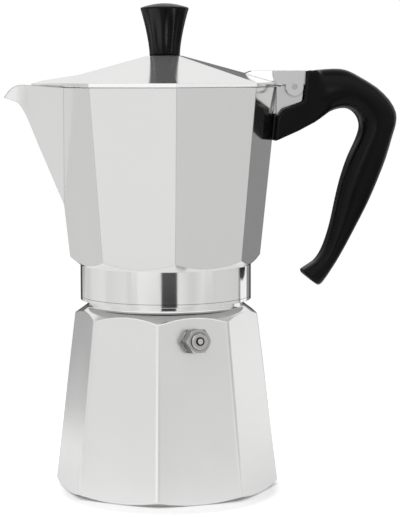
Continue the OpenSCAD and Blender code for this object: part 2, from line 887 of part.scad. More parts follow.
module knob() {
  dome_h = 2.4;
  edge_h = 0.8;
  top = knob_h - dome_h - edge_h;
  steps = 9;
  dome = 5;
  corners = 6 * knob_flutes;
  rings = concat(
    [
        for (i = [0:steps])
            [knob_radius(i / steps), top * i / steps, flute_depth * sin(150 * i / steps + 15)]
    ],
    [[knob_top_r - 0.1, top + edge_h * 0.6, 0]],
    [for (i = [0:dome]) let (share = 0.96 - 0.8 * i / dome)
      [knob_top_r * share, knob_h - dome_h * pow(share, 2), 0]]);
  color(black_plastic)
    translate([0, 0, knob_z])
      difference() {
        loft([for (ring = rings)
          [for (k = [0:corners - 1])
            let (
              a = 360 * k / corners + knob_turn,
              r = ring[0] - ring[2] * (1 - cos(360 * k / 6)) / 2)
            [r * cos(a), r * sin(a), ring[1]]]]);
        translate([0, 0, -1])
          cylinder(h = insert_h + 1, r = insert_r);
        translate([0, 0, -1])
          cylinder(h = insert_h + 4, r = knob_screw_r + 0.2);
      }
}

module knob_insert() {
  color([0.72, 0.58, 0.30])
    tube(knob_z, knob_z + insert_h, insert_r, knob_screw_r);
}

module knob_screw() {
  head_h = 2.4;
  head_z = crown_z - lid_wall - sheet_t - head_h;
  color(steel)
    difference() {
      union() {
        translate([0, 0, head_z])
          cylinder(h = head_h, r = knob_screw_r * 2);
        translate([0, 0, head_z])
          cylinder(h = crown_z + insert_h - 1 - head_z, r = knob_screw_r - 0.02);
      }
      translate([-knob_screw_r * 2, -0.4, head_z - 1])
        cube([knob_screw_r * 4, 0.8, 2]);
    }
}

module knob_washer() {
  color(steel)
    tube(crown_z - lid_wall - sheet_t, crown_z - lid_wall, knob_screw_r * 2.5, knob_screw_r + 0.2);
}

// --- Handle ---

function grip_value(i, pick) = let (s = GRIP[max(0, min(len(GRIP) - 1, i))])
  [s[0][0], s[0][1], s[1][0], s[1][1], s[2]][pick];

function grip_at(i, t, pick) = curve(grip_value(i - 1, pick), grip_value(i, pick),
  grip_value(i + 1, pick), grip_value(i + 2, pick), t);

module grip() {
  corners = 20;
  parts = 2;
  last = len(GRIP) - 1;
  stations = [for (i = [0:last - 1]) for (p = [0:parts - 1]) [i, p / parts]];
  loft([for (s = concat(stations, [[last - 1, 1]]))
    let (
      ox = lug_end_x + handle_reach * grip_at(s[0], s[1], 0),
      oz = tab_z - handle_drop * grip_at(s[0], s[1], 1),
      ix = lug_end_x + handle_reach * grip_at(s[0], s[1], 2),
      iz = tab_z - handle_drop * grip_at(s[0], s[1], 3),
      w = grip_w / 2 * grip_at(s[0], s[1], 4))
    [for (k = [0:corners - 1])
      let (
        a = 360 * (k + 0.5) / corners,
        u = sign(cos(a)) * pow(abs(cos(a)), 0.8),
        v = sign(sin(a)) * pow(abs(sin(a)), 0.75))
      [(ox + ix) / 2 + u * (ox - ix) / 2, v * w, (oz + iz) / 2 + u * (oz - iz) / 2]]]);
}

// How far out the body's corner reaches at a height
function corner_at(z) = body_rim_r - (rim_z - z) * body_slant;

module handle() {
  cheek_x = lug_end_x + handle_reach * 0.14;
  under_z = handle_end_z + 5.5;
  cheek_low_z = under_z + (cheek_x - screw_x - 1) * 0.52;
  swing = lid_open - 90;
  color(black_plastic)
    difference() {
      union() {
        grip();
        // Flat cheeks that carry on from the bracket
        slab([
          [corner_at(bracket_low_z) + handle_gap, bracket_low_z],
          [corner_at(handle_end_z) + handle_gap, handle_end_z],
          [screw_x + 1, under_z],
          [cheek_x, cheek_low_z],
          [cheek_x + 6, cheek_low_z + 4],
          [cheek_x + 5, tab_z - 13],
          [cheek_x, tab_z + 0.3],
          [lug_end_x, tab_z - 0.4],
          [lug_end_x - 1.5, bracket_end_z],
          [bracket_x + 3, bracket_low_z + 3.3],
          [bracket_x + 0.4, bracket_low_z]
        ], cheek_w);
      }
      // Pocket that the lid's ear swings through
      cross_bar(pin_x, pin_z, pocket_r, pocket_w);
      translate([pin_x, -pocket_w / 2, pin_z])
        rotate([0, swing, 0])
          cube([tab_z - pin_z + pocket_gap, pocket_w, 4 * tab_rise]);
      slab(tongue_outline(tongue_gap), tongue_t + 2 * tongue_gap);
      // Screw hole from below
      translate([screw_x, 0, handle_end_z - handle_foot_h])
        cylinder(h = rim_z - handle_end_z + handle_foot_h, r = handle_screw_r + 0.2);
      translate([screw_x, 0, handle_end_z - handle_foot_h])
        cylinder(h = handle_foot_h + screw_inset, r = handle_screw_r * 2 + 0.3);
    }
}

module handle_screw() {
  head_z = handle_end_z + screw_inset;
  color(steel)
    difference() {
      union() {
        translate([screw_x, 0, head_z - 2])
          cylinder(h = 2, r = handle_screw_r * 2);
        translate([screw_x, 0, head_z - 2])
          cylinder(h = bracket_low_z + 4 - head_z, r = handle_screw_r - 0.02);
      }
      translate([screw_x - handle_screw_r * 2, -0.4, head_z - 3])
        cube([handle_screw_r * 4, 0.8, 1.8]);
    }
}

boiler();
valve_body();
valve_washer();
valve_seal();
valve_pin();
valve_spring();
valve_cap();
funnel_basket();
funnel_stem();
funnel_disc();
gasket();
filter_plate();
collector();
column();
column_cap();
lid();
knob();
knob_insert();
knob_screw();
knob_washer();
hinge_pin();
handle();
handle_screw();
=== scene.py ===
import math

import bmesh
import bpy
from mathutils import Matrix, Vector


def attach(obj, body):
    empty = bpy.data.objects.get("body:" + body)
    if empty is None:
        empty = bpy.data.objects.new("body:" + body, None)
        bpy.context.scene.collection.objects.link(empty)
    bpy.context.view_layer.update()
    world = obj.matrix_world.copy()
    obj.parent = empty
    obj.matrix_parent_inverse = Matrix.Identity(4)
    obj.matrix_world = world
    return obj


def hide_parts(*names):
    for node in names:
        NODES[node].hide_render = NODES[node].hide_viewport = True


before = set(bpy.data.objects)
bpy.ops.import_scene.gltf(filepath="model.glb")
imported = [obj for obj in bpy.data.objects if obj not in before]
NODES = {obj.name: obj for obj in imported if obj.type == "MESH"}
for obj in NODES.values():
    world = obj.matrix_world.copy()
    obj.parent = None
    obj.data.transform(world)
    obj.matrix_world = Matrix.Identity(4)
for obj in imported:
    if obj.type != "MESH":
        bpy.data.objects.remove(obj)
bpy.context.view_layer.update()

MM = 0.001
WHITE = (1, 1, 1, 1)


def placed(name, data):
    """A new object in the scene that shows the data."""
    made = bpy.data.objects.new(name, data)
    bpy.context.scene.collection.objects.link(made)
    return made


def finished_mesh(name, work):
    """The mesh of a bmesh that is done with."""
    mesh = bpy.data.meshes.new(name)
    work.to_mesh(mesh)
    work.free()
    return mesh


# ---------------------------------------------------------------- camera

CAMERA_PLACE = Vector((-0.0939, -0.9683, 0.2214))
CAMERA_HEADING = math.radians(-6.605)
CAMERA_TILT = math.radians(90 - 5.93)
CAMERA_ROLL = math.radians(-0.153)
CAMERA_LENS = 129.05


def make_camera():
    """The camera from which the model lies over the photo's outline."""
    data = bpy.data.cameras.new("camera")
    data.lens = CAMERA_LENS
    data.sensor_width = 36
    data.clip_start = 0.01
    data.clip_end = 20
    camera = placed("camera", data)
    turn = (Matrix.Rotation(CAMERA_HEADING, 4, "Z") @ Matrix.Rotation(CAMERA_TILT, 4, "X")
            @ Matrix.Rotation(CAMERA_ROLL, 4, "Z"))
    camera.matrix_world = Matrix.Translation(CAMERA_PLACE) @ turn
    bpy.context.scene.camera = camera


# ---------------------------------------------------------------- node graphs

class Graph:
    """A short way to write a node tree: values, sockets or tuples go straight into a node's inputs."""

    def __init__(self, tree):
        self.tree = tree
        tree.nodes.clear()

    def node(self, kind, inputs=(), **settings):
        made = self.tree.nodes.new(kind)
        for key, value in settings.items():
            setattr(made, key, value)
        for key, value in dict(inputs).items():
            socket = made.inputs[key]
            if isinstance(value, bpy.types.NodeSocket):
                self.tree.links.new(value, socket)
            else:
                socket.default_value = value
        return made

    def math(self, operation, a, b=0.0, c=0.0):
        return self.node("ShaderNodeMath", {0: a, 1: b, 2: c}, operation=operation).outputs[0]

    def ramp(self, value, stops, interpolation="EASE"):
        """stops are (place, grey or colour)."""
        made = self.node("ShaderNodeValToRGB", {0: value})
        ramp = made.color_ramp
        ramp.interpolation = interpolation
        while len(ramp.elements) < len(stops):
            ramp.elements.new(0.5)
        for element, (place, shade) in zip(ramp.elements, stops):
            element.position = place
            element.color = (*shade, 1) if isinstance(shade, tuple) else (shade, shade, shade, 1)
        return made.outputs["Color"]

    def stretch(self, value, low_in, high_in, low_out, high_out):
        limits = {0: value, 1: low_in, 2: high_in, 3: low_out, 4: high_out}
        return self.node("ShaderNodeMapRange", limits).outputs[0]

    def band(self, value, low, high, soft):
        """1 between low and high, 0 outside them, with an edge that is soft to both sides."""
        rising = self.stretch(value, low - soft, low + soft, 0, 1)
        falling = self.stretch(value, high - soft, high + soft, 1, 0)
        return self.math("MULTIPLY", rising, falling)

    def noise(self, place, scale, detail=2.0, roughness=0.5, stretch=(1, 1, 1)):
        moved = self.node("ShaderNodeMapping", {"Vector": place, "Scale": stretch}).outputs[0]
        values = {"Vector": moved, "Scale": scale, "Detail": detail, "Roughness": roughness}
        return self.node("ShaderNodeTexNoise", values).outputs[0]

    def mix(self, share, first, second, blend="MIX"):
        """Two colours: the first where share is 0, the second where it is 1."""
        colours = {0: share, 6: first, 7: second}
        return self.node("ShaderNodeMix", colours, data_type="RGBA", blend_type=blend).outputs[2]

    def bump(self, height, strength, distance, **inputs):
        """The normal of a relief with that height. distance is in metres."""
        values = {"Strength": strength, "Distance": distance, "Height": height, **inputs}
        return self.node("ShaderNodeBump", values).outputs[0]

    def measure(self, operation, *vectors):
        """One number from vectors: LENGTH, DISTANCE or DOT_PRODUCT."""
        return self.node("ShaderNodeVectorMath", enumerate(vectors), operation=operation).outputs["Value"]


def new_material(name):
    """A material and the graph of its empty node tree."""
    material = bpy.data.materials.new(name)
    material.use_nodes = True
    return material, Graph(material.node_tree)


# ---------------------------------------------------------------- materials

def surface(name, build, **fixed):
    """A Principled material. fixed values go straight on its sockets; build links what varies."""
    material, graph = new_material(name)
    shader = graph.node("ShaderNodeBsdfPrincipled", fixed)
    place = graph.node("ShaderNodeTexCoord").outputs["Object"]
    for key, socket in build(graph, place).items():
        graph.tree.links.new(socket, shader.inputs[key])
    graph.node("ShaderNodeOutputMaterial", {"Surface": shader.outputs[0]})
    return material


def shade_pair(graph, value, dark, light):
    """A colour from dark to light as value goes from 0 to 1."""
    return graph.mix(value, (*dark, 1), (*light, 1))


def grey(level, warm=0.0):
    """A grey of that brightness, with warm more red and less blue."""
    return (level * (1 + warm), level, level * (1 - warm))


def worn_edges(graph, radius):
    """A normal that runs smoothly over edges, as if they were rounded by that radius."""
    return graph.node("ShaderNodeBevel", {"Radius": radius}, samples=6).outputs[0]


def darkened(graph, colour, share):
    """The colour times the share."""
    return graph.mix(1.0, colour, share, "MULTIPLY")


def metal(name, level, rough, grain, grain_depth, spread=0.05, warm=0.004, pits=0.0, edge=0.4, haze=0.0,
          painted_shade=0.0, painted_shade_reach=1.6, painted_edge_shade=1.0):
    """Metal with a soft cloud in its tone, a fine grain, and a few faint scratches.

    grain stretches the grain, pits deepens small holes, and haze is the share that isn't metallic.
    edge is the radius in mm by which edges look rounded, and painted_edge_shade the share of the colour
    that painted shade leaves along them.
    grime darkens, as painted shade, what lies within painted_shade_reach mm of another surface, as in
    corners and gaps."""
    def build(graph, place):
        cloud = graph.noise(place, 22, 3)
        fine = graph.noise(place, 900, 3, 0.6, grain)
        scratch = graph.noise(place, 260, 5, 0.7, (0.9, 1.1, 6))
        mark = graph.stretch(scratch, 0.64, 0.70, 0, 1)
        colour = shade_pair(graph, cloud, grey(level * (1 - spread), warm), grey(level, warm))
        roughness = graph.math("ADD", graph.stretch(cloud, 0.3, 0.7, rough * 0.85, rough * 1.15),
                               graph.math("MULTIPLY", mark, 0.05))
        height = graph.math("MULTIPLY_ADD", mark, -0.3, fine)
        if pits:
            pit = graph.stretch(graph.noise(place, 1500, 1), 0.68, 0.78, 0, -pits)
            height = graph.math("ADD", height, pit)
        if painted_shade:
            # painted shade: the colour is darker where another surface is near, as in corners and gaps
            nearby = {"Distance": painted_shade_reach * MM}
            openness = graph.node("ShaderNodeAmbientOcclusion", nearby, samples=6).outputs["AO"]
            colour = darkened(graph, colour, graph.stretch(openness, 0.35, 0.95, 1 - painted_shade, 1))
        rounded = worn_edges(graph, edge * MM)
        # painted shade along the edges, for the dark that rounded edges mirror
        if painted_edge_shade < 1:
            flat = graph.node("ShaderNodeNewGeometry").outputs["Normal"]
            flatness = graph.measure("DOT_PRODUCT", rounded, flat)
            colour = darkened(graph, colour, graph.stretch(flatness, 0.955, 0.998, painted_edge_shade, 1))
        normal = graph.bump(height, grain_depth, 0.06 * MM, Normal=rounded)
        return {"Base Color": colour, "Roughness": roughness, "Normal": normal}
    return surface(name, build, Metallic=1.0 - haze)


def turned_metal(name, level, rough, pitch, depth, haze=0.0, line_z=0.0, line_w=0.25):
    """Metal turned on a lathe: fine rings round the pot's axis, pitch mm apart,
    and one dark line at the height line_z, line_w to each side, in mm."""
    def build(graph, place):
        parts = graph.node("ShaderNodeSeparateXYZ", {0: place})
        x, y, z = parts.outputs
        squares = graph.math("ADD", graph.math("MULTIPLY", x, x), graph.math("MULTIPLY", y, y))
        along = graph.math("ADD", z, graph.math("SQRT", squares))
        wobble = graph.noise(place, 40, 2)
        ring = graph.math("SINE", graph.math("MULTIPLY_ADD", along, math.tau / (pitch * MM), wobble))
        uneven = {"W": graph.math("MULTIPLY", along, 2600), "Detail": 3.0}
        coarse = graph.node("ShaderNodeTexNoise", uneven, noise_dimensions="1D").outputs[0]
        height = graph.math("MULTIPLY_ADD", coarse, 1.4, ring)
        normal = graph.bump(height, depth, 0.02 * MM, Normal=worn_edges(graph, 0.35 * MM))
        cloud = graph.noise(place, 25, 3)
        colour = shade_pair(graph, cloud, grey(level * 0.96, 0.004), grey(level, 0.004))
        off = graph.math("ABSOLUTE", graph.math("SUBTRACT", z, line_z * MM))
        colour = darkened(graph, colour, graph.stretch(off, 0.3 * line_w * MM, line_w * MM, 0.45, 1))
        roughness = graph.stretch(cloud, 0.3, 0.7, rough * 0.8, rough * 1.2)
        return {"Base Color": colour, "Roughness": roughness, "Normal": normal}
    return surface(name, build, Metallic=1.0 - haze)


def plastic(name, level, rough, shine):
    """Moulded plastic with a very fine grain and faint smears."""
    def build(graph, place):
        grain = graph.noise(place, 2600, 2, 0.6)
        cloud = graph.noise(place, 30, 3)
        smear = graph.noise(place, 120, 4, 0.65, (1, 1, 0.3))
        colour = shade_pair(graph, cloud, grey(level * 0.8), grey(level * 1.2))
        roughness = graph.math("ADD", graph.stretch(smear, 0.3, 0.7, rough - 0.05, rough + 0.06),
                               graph.math("MULTIPLY", grain, 0.03))
        normal = graph.bump(grain, 0.12, 0.05 * MM)
        return {"Base Color": colour, "Roughness": roughness, "Normal": normal}
    return surface(name, build, **{"Specular IOR Level": shine})


def rubber(name):
    """Pale rubber with a soft, uneven tone."""
    def build(graph, place):
        cloud = graph.noise(place, 60, 4)
        grain = graph.noise(place, 1400, 3)
        colour = shade_pair(graph, cloud, (0.66, 0.63, 0.55), (0.80, 0.78, 0.72))
        normal = graph.bump(grain, 0.25, 0.08 * MM)
        roughness = graph.stretch(cloud, 0.3, 0.7, 0.5, 0.7)
        return {"Base Color": colour, "Roughness": roughness, "Normal": normal}
    return surface(name, build)


def brass(name):
    """Brass with a fine grain."""
    def build(graph, place):
        cloud = graph.noise(place, 90, 3)
        grain = graph.noise(place, 1800, 3, 0.6, (1, 1, 8))
        colour = shade_pair(graph, cloud, (0.66, 0.45, 0.18), (0.82, 0.62, 0.30))
        normal = graph.bump(grain, 0.15, 0.05 * MM)
        roughness = graph.stretch(cloud, 0.3, 0.7, 0.2, 0.34)
        return {"Base Color": colour, "Roughness": roughness, "Normal": normal}
    return surface(name, build, Metallic=1.0)


MATERIALS = {
    "polished": metal("polished_aluminium", 0.90, 0.10, (1, 1, 0.08), 0.10, edge=0.7, haze=0.01, painted_shade=0.5,
                      painted_edge_shade=0.68),
    "buffed": metal("buffed_aluminium", 0.90, 0.11, (1, 1, 0.08), 0.10, haze=0.10, painted_shade=0.8),
    "satin": metal("satin_aluminium", 0.89, 0.22, (1, 1, 0.05), 0.20, pits=0.3, haze=0.06),
    "rough_cast": metal("rough_cast_aluminium", 0.62, 0.46, (1, 1, 1), 0.7, spread=0.14, pits=1.5),
    "turned": turned_metal("turned_aluminium", 0.91, 0.09, 0.45, 0.05, haze=0.02, line_z=101.4),
    "sheet": metal("pressed_aluminium", 0.88, 0.20, (1, 1, 0.3), 0.12),
    "nickel": metal("nickel", 0.56, 0.20, (1, 1, 1), 0.10, warm=0.02, edge=0.25, painted_shade=0.92,
                    painted_shade_reach=3.0),
    # a darker copy of the nickel: painted shade for the sides of the valve's hexagon
    "shaded_nickel": metal("nickel_painted_shade", 0.17, 0.30, (1, 1, 1), 0.10, warm=0.02, edge=0.25),
    "steel": metal("steel", 0.66, 0.26, (1, 1, 0.2), 0.2, edge=0.2, painted_shade=0.8, painted_shade_reach=2.5),
    "brass": brass("brass"),
    "plastic": plastic("black_plastic", 0.002, 0.25, 0.13),
    "rubber": rubber("gasket_rubber"),
}

NODE_MATERIALS = {
    "boiler": "satin",
    "valve_body": "nickel", "valve_washer": "steel", "valve_cap": "nickel",
    "valve_seal": "rubber", "valve_pin": "steel", "valve_spring": "steel",
    "funnel_basket": "sheet", "funnel_stem": "sheet", "funnel_disc": "sheet",
    "gasket": "rubber", "filter_plate": "sheet",
    "collector": "polished", "column": "satin", "column_cap": "sheet",
    "handle": "plastic", "handle_screw": "steel",
    "lid": "buffed", "hinge_pin": "steel",
    "knob": "plastic", "knob_insert": "brass", "knob_screw": "steel", "knob_washer": "steel",
}


# ---------------------------------------------------------------- sizes

# Lengths are in millimetres and follow the solids. R is a radius, mostly from the pot's axis, Z a height.
CORNERS = 8
BOILER_TURN = math.radians(-10)
BOILER_FOOT_R = 59.7
BOILER_SHOULDER_R = 48.5
BOILER_SHOULDER_Z = 91.4
BOILER_WALL = 2.8
BOILER_FLOOR = 3.6
FOOT_TURN_H = 2.8
FOOT_RING_R = 54.6
FOOT_RING_W = 11
FOOT_MIDDLE_R = 16
FOOT_GROOVE = 0.8
SHOULDER_SLOPE = math.radians(36)
FOOT_SEARCH = (0, 6)
SHOULDER_SEARCH = (84, 99)
BOILER_ROUNDING = 3.6
BOILER_INNER_ROUNDING = 2.6
BOILER_ROOF_DROP = 2
NECK_BORE_DROP = 1.5
NECK_R = 41.2
NECK_BORE_R = 37.2
NECK_TOP_Z = 112.5
COLLAR_Z = 99.7
BODY_TURN_Z = 122.2
TURNED_REACH_R = 50.5
INNER_WALL_REACH_R = 58
INNER_FLOOR_R = 50
RIM_Z = 210.6
THREAD_BORE_R = 42.0
CROWN_Z = 226.8
KNOB_H = 27.13
KNOB_FOOT_R = 8.0
KNOB_TOP_R = 12.6
KNOB_DOME = 2.34
KNOB_EDGE = 0.8
KNOB_EDGE_INSET = 0.1
KNOB_EDGE_ROUNDING = 0.5
KNOB_FLARE = 1.5
KNOB_FLUTES = 10
KNOB_TURN = math.radians(6.5)
FLUTE_DEPTH = 0.55
THREAD_PITCH = 3.04
THREAD_DEPTH = 0.55
THREAD_LOW_Z = 101.5
THREAD_SUNK = 0.2
SCREW_SUNK = 1.6
SCREW_HEAD_R = 3.0
SCREW_HEAD_H = 1.6
SCREW_SHANK_R = 1.9
HANDLE_GRID = 0.6
HANDLE_PASSES = (6, 140)
HANDLE_FORK_X = (78, 84)
HANDLE_BEND_X = (112, 102)
LID_HEEL_ROOM = 0.25
LID_HEEL_X = (84, 79)
LID_HEEL_Z = (198, 202)


# ---------------------------------------------------------------- finishes

def dress_nodes():
    """Gives each node of the frame its one material."""
    for name, material in NODE_MATERIALS.items():
        mesh = NODES[name].data
        mesh.materials.clear()
        mesh.materials.append(MATERIALS[material])


def finish_faces(node, finishes, pick):
    """Gives each face of a node one of the finishes; pick(radius, height, outward, up) says which.

    radius and height are where the face's middle is, in mm; outward and up say which way it looks."""
    mesh = NODES[node].data
    mesh.materials.clear()
    for finish in finishes:
        mesh.materials.append(MATERIALS[finish])
    for face in mesh.polygons:
        middle = Vector((face.center.x, face.center.y))
        outward = middle.normalized().dot(Vector((face.normal.x, face.normal.y)))
        finish = pick(middle.length / MM, face.center.z / MM, outward, face.normal.z)
        face.material_index = finishes.index(finish)


def collector_finish(radius, height, outward, up):
    """Turned collar and rim, rough inside, polished outside; under the collar the darker rough cast finish
    is painted shade.
    """
    under_collar = up < -0.9 and radius > THREAD_BORE_R and height < COLLAR_Z + 0.5
    collar = height < BODY_TURN_Z - 0.2 and radius < TURNED_REACH_R and outward > -0.3
    inner_wall = outward < -0.15 and radius < INNER_WALL_REACH_R
    inner_floor = up > 0.3 and height < RIM_Z - 1 and radius < INNER_FLOOR_R
    rim = up > 0.9 and height > RIM_Z - 1
    # painted shade: the collar's underside takes the darker rough cast finish because it lies in shadow
    if under_collar:
        return "rough_cast"
    if collar:
        return "turned"
    if inner_wall or inner_floor:
        return "rough_cast"
    return "turned" if rim else "polished"


def lid_finish(radius, height, outward, up):
    """Satin underneath, buffed on top."""
    return "satin" if up < -0.1 else "buffed"


def valve_shade_pick(radius, height, outward, up):
    """Painted shade: the sides of the hexagon get a darker copy of the nickel than what faces away from
    the pot.
    """
    return "shaded_nickel" if outward < 0.35 else "nickel"


def finish_castings():
    """Castings with more than one finish, and the valve body with painted shade on the sides of its
    hexagon.
    """
    finish_faces("collector", ["polished", "turned", "rough_cast"], collector_finish)
    finish_faces("lid", ["buffed", "satin"], lid_finish)
    finish_faces("valve_body", ["nickel", "shaded_nickel"], valve_shade_pick)


# ---------------------------------------------------------------- skins

# A rounded corner takes at most this share of its shorter side, so two corners never meet
CORNER_ROOM = 0.45


def softened_corners(points, radii, steps=4):
    """The line through points with its inner corners rounded, each by steps + 1 points."""
    line = [points[0]]
    for before, corner, after, radius in zip(points, points[1:], points[2:], radii):
        back = before - corner
        ahead = after - corner
        room = CORNER_ROOM * min(back.length, ahead.length)
        reach = min(radius / math.tan(back.angle(ahead) / 2), room)
        start = corner + back.normalized() * reach
        end = corner + ahead.normalized() * reach
        for step in range(steps + 1):
            share = step / steps
            line.append(start.lerp(corner, share).lerp(corner.lerp(end, share), share))
    line.append(points[-1])
    return line


def skin(name, columns, bands, materials):
    """A closed mesh through columns of points in millimetres that all begin and end on one axis.
    bands holds the material's number for each row of faces."""
    work = bmesh.new()
    rows = len(columns[0])
    poles = [work.verts.new(columns[0][row] * MM) for row in (0, -1)]
    grid = [[work.verts.new(point * MM) for point in column[1:-1]] for column in columns]
    for index, column in enumerate(grid):
        beside = grid[(index + 1) % len(grid)]
        work.faces.new((poles[0], beside[0], column[0])).material_index = bands[0]
        work.faces.new((poles[1], column[-1], beside[-1])).material_index = bands[-1]
        for row in range(rows - 3):
            face = work.faces.new((column[row], beside[row], beside[row + 1], column[row + 1]))
            face.material_index = bands[row + 1]
    bmesh.ops.recalc_face_normals(work, faces=work.faces)
    for face in work.faces:
        face.smooth = True
    piece = placed(name, finished_mesh(name, work))
    for material in materials:
        piece.data.materials.append(MATERIALS[material])
    normals = piece.modifiers.new("normals", "WEIGHTED_NORMAL")
    normals.weight = 70
    return piece


def belongs(piece, body, slot, *nodes):
    """The piece moves with the body and stands in for the nodes. slot is not used."""
    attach(piece, body)
    if nodes:
        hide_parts(*nodes)


def octagon(corner_r, rounding, turn, side_steps=12, corner_steps=8):
    """Points round an octagon whose corners are rounded."""
    half = math.pi / CORNERS
    middle_r = (corner_r * math.cos(half) - rounding) / math.cos(half)
    points = []
    for corner in range(CORNERS):
        out = turn + corner * 2 * half
        middle = Vector((math.cos(out), math.sin(out))) * middle_r
        arc = [middle + Vector((math.cos(out + bend), math.sin(out + bend))) * rounding
               for bend in (half * (2 * step / corner_steps - 1) for step in range(corner_steps + 1))]
        following = out + 2 * half
        ahead = Vector((math.cos(following), math.sin(following))) * middle_r
        ahead += Vector((math.cos(following - half), math.sin(following - half))) * rounding
        points += arc + [arc[-1].lerp(ahead, step / side_steps) for step in range(1, side_steps)]
    return points


def meeting_height(wall, turned, low, high, halvings=30):
    """The height between low and high at which wall(height), a point, is as far out as turned(height)."""
    for _ in range(halvings):
        middle = (low + high) / 2
        if (wall(low).length - turned(low)) * (wall(middle).length - turned(middle)) <= 0:
            high = middle
        else:
            low = middle
    return low


def on_axis(height):
    """The point of the pot's axis at that height."""
    return Vector((0, 0, height))


def at(way, radius, height):
    """The point at that height, and that far from the axis in a level direction."""
    return Vector((*(way * radius), height))


def shoulder_reach(height):
    """How far out the boiler's sloping shoulder is at that height."""
    return BOILER_SHOULDER_R - (height - BOILER_SHOULDER_Z) / math.tan(SHOULDER_SLOPE)


def boiler_columns():
    """Columns of points over the boiler: from under its middle, up outside, down inside to its floor."""
    slant = (BOILER_FOOT_R - BOILER_SHOULDER_R) / BOILER_SHOULDER_Z
    roof_z = BOILER_SHOULDER_Z - BOILER_ROOF_DROP
    wall_across = BOILER_WALL / math.cos(math.pi / CORNERS)
    foot_r = BOILER_FOOT_R - FOOT_TURN_H * slant
    foot_slope = FOOT_TURN_H / (foot_r - FOOT_RING_R)
    neck_foot_z = BOILER_SHOULDER_Z + (BOILER_SHOULDER_R - NECK_R) * math.tan(SHOULDER_SLOPE)
    groove_r = FOOT_RING_R - FOOT_RING_W
    # the walls are straight from height 0 to the height reach, where the octagons are drawn
    reach = 100
    corner_rs = [BOILER_FOOT_R - slant * z for z in (0, reach)]
    outside = [octagon(r, BOILER_ROUNDING, BOILER_TURN) for r in corner_rs]
    inside = [octagon(r - wall_across, BOILER_INNER_ROUNDING, BOILER_TURN) for r in corner_rs]

    def foot_reach(height):
        return FOOT_RING_R + height / foot_slope

    columns = []
    for low, high, low_in, high_in in zip(*outside, *inside):
        def wall(height):
            return low.lerp(high, height / reach)

        def lining(height):
            return low_in.lerp(high_in, height / reach)

        foot_z = meeting_height(wall, foot_reach, *FOOT_SEARCH)
        top_z = meeting_height(wall, shoulder_reach, *SHOULDER_SEARCH)
        foot_way = wall(foot_z).normalized()
        neck_way = wall(top_z).normalized()
        # each corner of the column with its radius
        corners = [
            (at(foot_way, FOOT_MIDDLE_R, 0), 0.2),
            (at(foot_way, FOOT_MIDDLE_R, FOOT_GROOVE), 0.2),
            (at(foot_way, groove_r, FOOT_GROOVE), 0.2),
            (at(foot_way, groove_r, 0), 0.2),
            (at(foot_way, FOOT_RING_R, 0), 0.4),
            (Vector((*wall(foot_z), foot_z)), 0.5),
            (Vector((*wall(top_z), top_z)), 0.7),
            (at(neck_way, NECK_R, neck_foot_z), 2.2),
            (at(neck_way, NECK_R, NECK_TOP_Z), 0.5),
            (at(neck_way, NECK_BORE_R, NECK_TOP_Z), 0.4),
            (at(neck_way, NECK_BORE_R, neck_foot_z - NECK_BORE_DROP), 2),
            (Vector((*lining(roof_z), roof_z)), 3),
            (Vector((*lining(BOILER_FLOOR), BOILER_FLOOR)), 5),
        ]
        points = [on_axis(0), *(point for point, _ in corners), on_axis(BOILER_FLOOR)]
        columns.append(softened_corners(points, [radius for _, radius in corners]))
    return columns


def bands_of(kinds, steps=4):
    """The material of each row of faces, from the material of each stretch between two corners."""
    bands = [kinds[0]]
    for before, after in zip(kinds, kinds[1:]):
        bands += [before] * (steps // 2) + [after] * (steps - steps // 2) + [after]
    return bands


def make_boiler():
    """Turned foot, satin sides, turned shoulder and neck, rough inside."""
    finishes = ["satin", "turned", "rough_cast"]
    satin, turned, rough = range(3)
    bands = bands_of([turned] * 6 + [satin] + [turned] * 4 + [rough] * 3)
    piece = skin("boiler_casting", boiler_columns(), bands, finishes)
    belongs(piece, "boiler_body", "cast_aluminium", "boiler")


def knob_columns(count=240, rows=16, dome_rings=(0.97, 0.9, 0.8, 0.65, 0.5, 0.3, 0.15)):
    """Columns of points over the knob: up its fluted side, over its edge, and in over its dome."""
    rim_z = CROWN_Z + KNOB_H - KNOB_DOME - KNOB_EDGE
    columns = []
    for index in range(count):
        turn = math.tau * index / count
        way = Vector((math.cos(turn), math.sin(turn)))
        flute = (1 - math.cos(KNOB_FLUTES * (turn - KNOB_TURN))) / 2
        sides = []
        for step in range(rows + 1):
            share = step / rows
            radius = KNOB_FOOT_R + (KNOB_TOP_R - KNOB_FOOT_R) * share ** KNOB_FLARE
            # a flute is deepest half way up, and about a quarter as deep at both ends
            radius -= FLUTE_DEPTH * flute * math.sin(math.radians(15 + 150 * share))
            sides.append(at(way, radius, CROWN_Z + (rim_z - CROWN_Z) * share))
        dome = [at(way, KNOB_TOP_R * share, CROWN_Z + KNOB_H - KNOB_DOME * share ** 2)
                for share in dome_rings]
        corner = at(way, KNOB_TOP_R - KNOB_EDGE_INSET, rim_z + KNOB_EDGE - KNOB_EDGE_INSET)
        rim = softened_corners([sides[-1], corner, dome[0]], [KNOB_EDGE_ROUNDING])
        columns.append([on_axis(CROWN_Z), *sides[:-1], *rim, *dome[1:], on_axis(CROWN_Z + KNOB_H)])
    return columns


def make_knob():
    columns = knob_columns()
    piece = skin("knob_moulding", columns, [0] * (len(columns[0]) - 1), ["plastic"])
    belongs(piece, "lid_body", "black_plastic", "knob")


